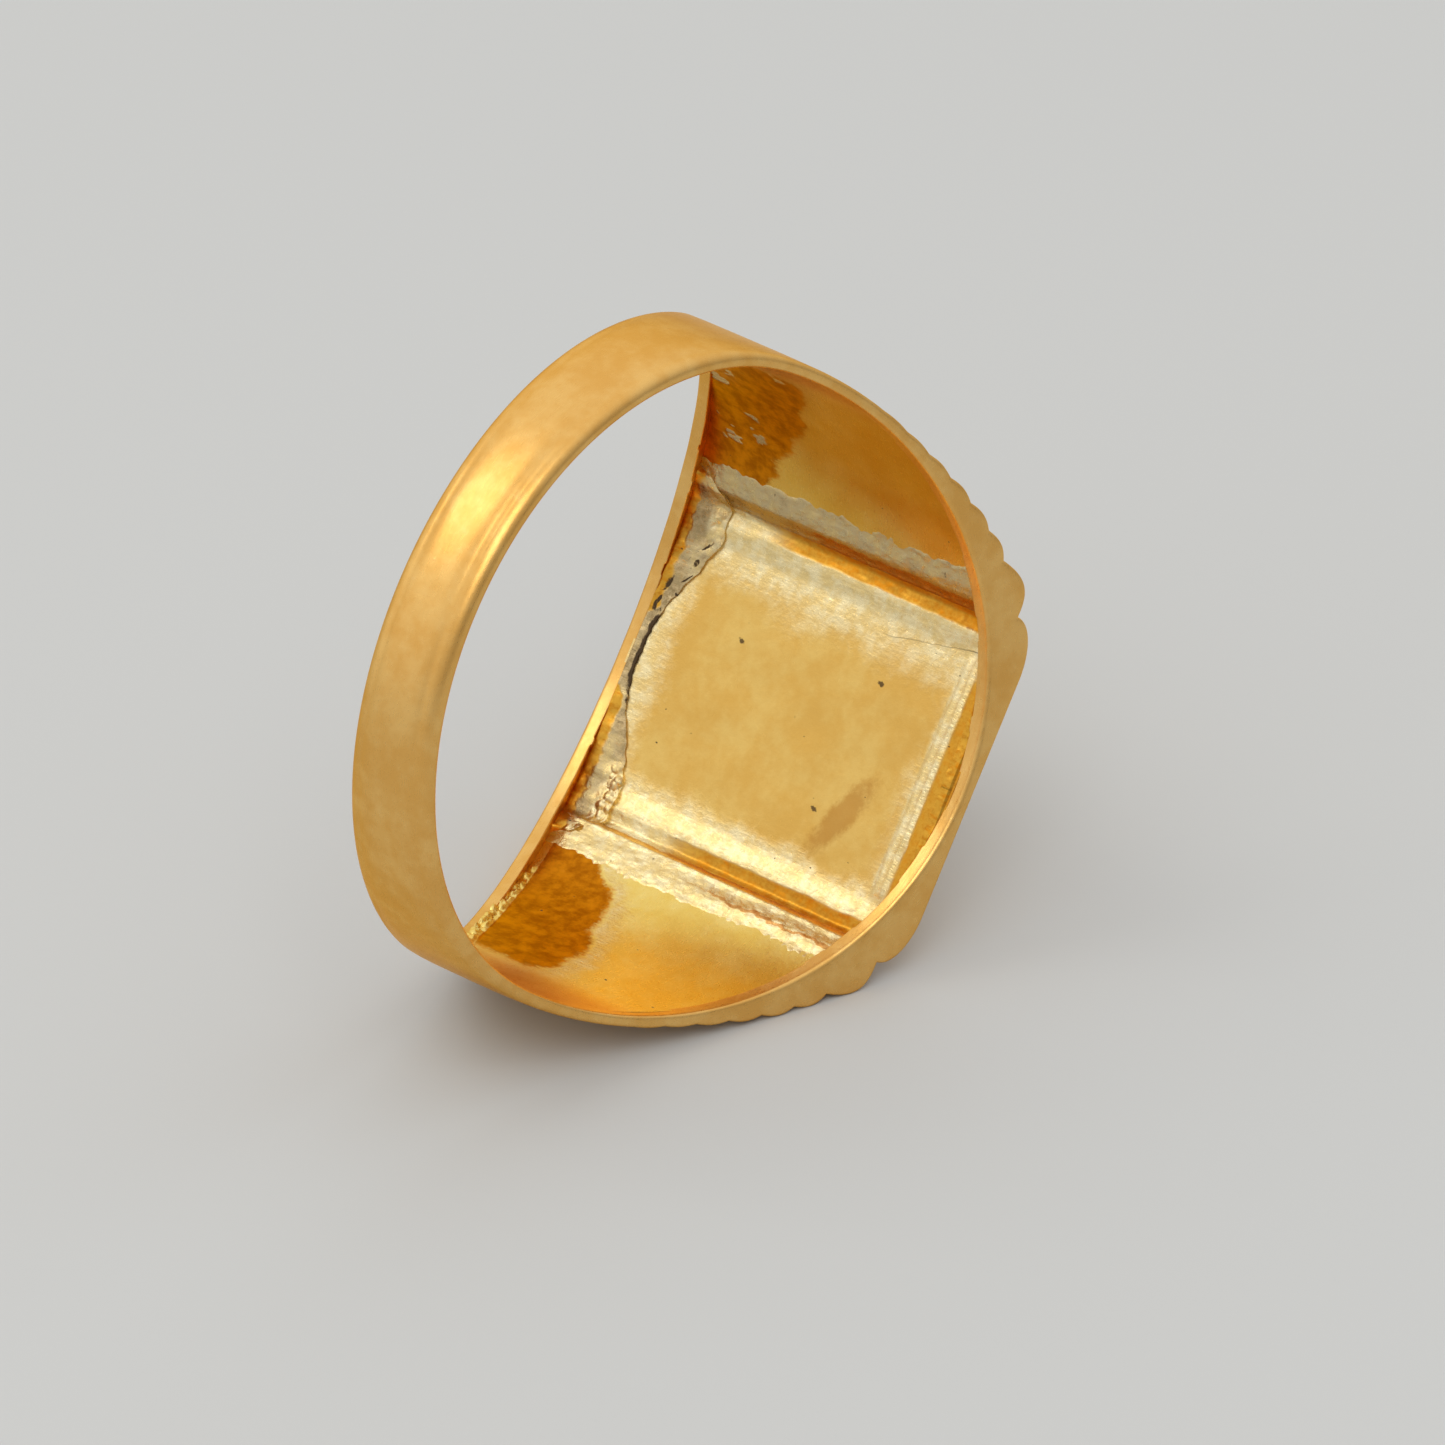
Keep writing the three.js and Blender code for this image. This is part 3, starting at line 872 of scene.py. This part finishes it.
# Light tone, deep tone and roughness of each slot's gold on the inside of the ring
INSIDES = {
    "table_gold": (rgb(0.76, 0.51, 0.15), rgb(0.7, 0.42, 0.1), 0.32),
    "shoulder_gold": (rgb(0.93, 0.73, 0.25), rgb(0.88, 0.63, 0.15), 0.3),
    "shank_gold": (rgb(0.88, 0.57, 0.18), rgb(0.82, 0.48, 0.12), 0.3),
    "wall_gold": (rgb(0.84, 0.53, 0.15), rgb(0.77, 0.43, 0.09), 0.34),
    "pale_solder": (rgb(0.84, 0.58, 0.2), rgb(0.72, 0.42, 0.1), 0.33),
}
STREAKINESS = {"table_gold": 0.25, "shoulder_gold": 0.6}

finishes = {}
for slot, tones in INSIDES.items():
    streaky = STREAKINESS.get(slot, 1.0)
    finishes[slot] = worked_gold(slot, *tones, streaky, cracked=slot == "table_gold")

for node, piece in pieces.items():
    slot = next(part["material_slot"] for part in record["subparts"] if part["node"] == node)
    piece.data.materials.append(finishes[slot])
    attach(piece, "root")
    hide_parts(node)

# ---------------------------------------------------------------- floor, light and camera

VIEW_AZIMUTH = -50.03 * DEGREE
VIEW_ELEVATION = 31.85 * DEGREE
VIEW_ROLL = -0.16 * DEGREE
VIEW_DISTANCE = 0.46166
VIEW_SHIFT = (2.981 * MM, -1.704 * MM)  # from the middle of the hole to the middle of the picture
LENS = 405.8
SENSOR = 36
FLOOR_REACH = 0.6
FLOOR_COLOUR = (0.57, 0.58, 0.58, 1)
WORLD_COLOUR = (1, 0.985, 0.96, 1)
BACKDROP_LEVEL = 0.85  # how bright the surround is where the camera sees it
SKY_TILT = 0.6  # weight of +Y beside +Z in how bright the surround is
SKY_LEVELS = {"From Min": -0.7, "From Max": 1.0, "To Min": 0.34, "To Max": 0.95}


def floor():
    mesh = bpy.data.meshes.new("floor")
    low, high = -FLOOR_REACH, FLOOR_REACH
    mesh.from_pydata([(low, low, 0), (high, low, 0), (high, high, 0), (low, high, 0)], [], [(0, 1, 2, 3)])
    thing = bpy.data.objects.new("floor", mesh)
    bpy.context.scene.collection.objects.link(thing)
    material = bpy.data.materials.new("pale_floor")
    material.use_nodes = True
    shader = material.node_tree.nodes["Principled BSDF"]
    shader.inputs["Base Color"].default_value = FLOOR_COLOUR
    shader.inputs["Roughness"].default_value = 0.8
    mesh.materials.append(material)


def area_light(name, place, size, power, colour=(1, 1, 1)):
    light = bpy.data.lights.new(name, "AREA")
    light.shape = "RECTANGLE"
    light.size, light.size_y = size
    light.energy = power
    light.color = colour
    thing = bpy.data.objects.new(name, light)
    thing.location = place
    thing.rotation_euler = (Vector(place)).to_track_quat("Z", "Y").to_euler()
    bpy.context.scene.collection.objects.link(thing)


def camera():
    forward = Vector((
        -math.sin(VIEW_AZIMUTH) * math.cos(VIEW_ELEVATION),
        math.cos(VIEW_AZIMUTH) * math.cos(VIEW_ELEVATION),
        -math.sin(VIEW_ELEVATION),
    ))
    right = forward.cross(Vector((0, 0, 1))).normalized()
    up = right.cross(forward)
    roll = Matrix.Rotation(VIEW_ROLL, 3, forward)
    right, up = roll @ right, roll @ up
    data = bpy.data.cameras.new("camera")
    data.lens = LENS
    data.sensor_width = SENSOR
    data.clip_start = 0.01
    thing = bpy.data.objects.new("camera", data)
    place = CENTRE - forward * VIEW_DISTANCE + right * VIEW_SHIFT[0] + up * VIEW_SHIFT[1]
    axes = Matrix((right, up, -forward)).transposed().to_4x4()
    thing.matrix_world = Matrix.Translation(place) @ axes
    bpy.context.scene.collection.objects.link(thing)
    bpy.context.scene.camera = thing


def studio_world():
    """A plain soft surround: bright overhead and towards +Y, dimmer below; pale where the camera sees it."""
    world = bpy.data.worlds.new("studio")
    bpy.context.scene.world = world
    world.use_nodes = True
    tree = world.node_tree
    around = tree.nodes.new("ShaderNodeTexCoord")
    parts = tree.nodes.new("ShaderNodeSeparateXYZ")
    back = tree.nodes.new("ShaderNodeMath")
    back.operation = "MULTIPLY_ADD"
    back.inputs[1].default_value = SKY_TILT
    level = tree.nodes.new("ShaderNodeMapRange")
    level.interpolation_type = "SMOOTHSTEP"
    for key, value in SKY_LEVELS.items():
        level.inputs[key].default_value = value
    path = tree.nodes.new("ShaderNodeLightPath")
    strength = tree.nodes.new("ShaderNodeMix")
    strength.inputs[3].default_value = BACKDROP_LEVEL
    background = tree.nodes["Background"]
    background.inputs["Color"].default_value = WORLD_COLOUR
    tree.links.new(around.outputs["Generated"], parts.inputs[0])
    tree.links.new(parts.outputs["Y"], back.inputs[0])
    tree.links.new(parts.outputs["Z"], back.inputs[2])
    tree.links.new(back.outputs[0], level.inputs["Value"])
    tree.links.new(path.outputs["Is Camera Ray"], strength.inputs[0])
    tree.links.new(level.outputs["Result"], strength.inputs[2])
    tree.links.new(strength.outputs[0], background.inputs["Strength"])


floor()
area_light("window", (-0.17, 0.29, 0.42), (0.24, 0.3), 0.32, (1, 0.97, 0.9))
area_light("lamp", (-0.25, -0.2, 0.45), (0.3, 0.3), 0.5)
camera()
studio_world()
bpy.context.scene.view_settings.view_transform = "Standard"
